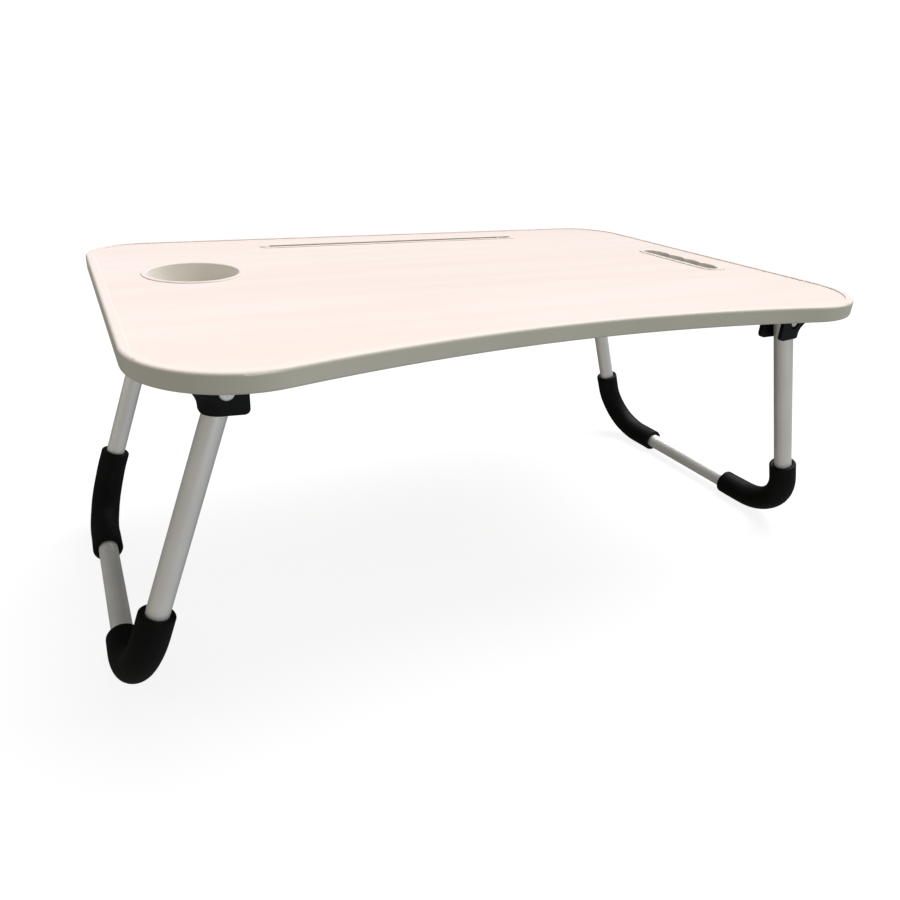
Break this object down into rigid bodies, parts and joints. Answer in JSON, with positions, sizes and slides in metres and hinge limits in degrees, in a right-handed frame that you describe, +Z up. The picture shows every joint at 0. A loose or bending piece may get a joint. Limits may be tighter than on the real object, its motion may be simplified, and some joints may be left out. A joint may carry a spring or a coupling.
{
  "type": "folding tray table",
  "caption": "Low folding tray table: thin board top with a curved front edge, cup holder, tablet slot and grip hole, on U-shaped tube legs that fold flat under it.",
  "frame": {"origin": "on the floor under the middle of the top, with the legs open", "axes": "+X along the top's long side, -Y towards the user and the inward-curved front edge, +Z up"},
  "size_m": [0.6654, 0.4, 0.255],
  "materials": {
    "top_laminate": "satin",
    "bottom_laminate": "satin",
    "board_core": "matte",
    "edge_band": "satin",
    "insert_plastic": "satin",
    "bracket_plastic": "satin",
    "plug_plastic": "matte",
    "pin_steel": "satin",
    "screw_steel": "satin",
    "leg_aluminium": "satin",
    "foam": "matte"
  },
  "bodies": {
    "top": {"board_core": "board_core", "bottom_laminate": "bottom_laminate", "top_laminate": "top_laminate", "edge_band": "edge_band", "cup_holder_insert": "insert_plastic", "handle_insert": "insert_plastic", "tablet_slot_insert": "insert_plastic", "bracket_screws": "screw_steel", "left_front_hinge_bracket": "bracket_plastic", "left_front_hinge_pin": "pin_steel", "left_rear_hinge_bracket": "bracket_plastic", "left_rear_hinge_pin": "pin_steel", "right_front_hinge_bracket": "bracket_plastic", "right_front_hinge_pin": "pin_steel", "right_rear_hinge_bracket": "bracket_plastic", "right_rear_hinge_pin": "pin_steel"},
    "left_leg": {"left_leg_tube": "leg_aluminium", "left_front_tube_plug": "plug_plastic", "left_front_foam_sleeve": "foam", "left_rear_tube_plug": "plug_plastic", "left_rear_foam_sleeve": "foam"},
    "right_leg": {"right_leg_tube": "leg_aluminium", "right_front_tube_plug": "plug_plastic", "right_front_foam_sleeve": "foam", "right_rear_tube_plug": "plug_plastic", "right_rear_foam_sleeve": "foam"}
  },
  "joints": [
    {"name": "left_leg_fold", "type": "hinge", "parent": "top", "child": "left_leg", "pos_m": [-0.245, -0.0086, 0.2285], "axis": [0, -1, 0], "range_deg": [0, 109.2]},
    {"name": "right_leg_fold", "type": "hinge", "parent": "top", "child": "right_leg", "pos_m": [0.245, -0.0086, 0.2285], "axis": [0, 1, 0], "range_deg": [0, 109.2]}
  ]
}
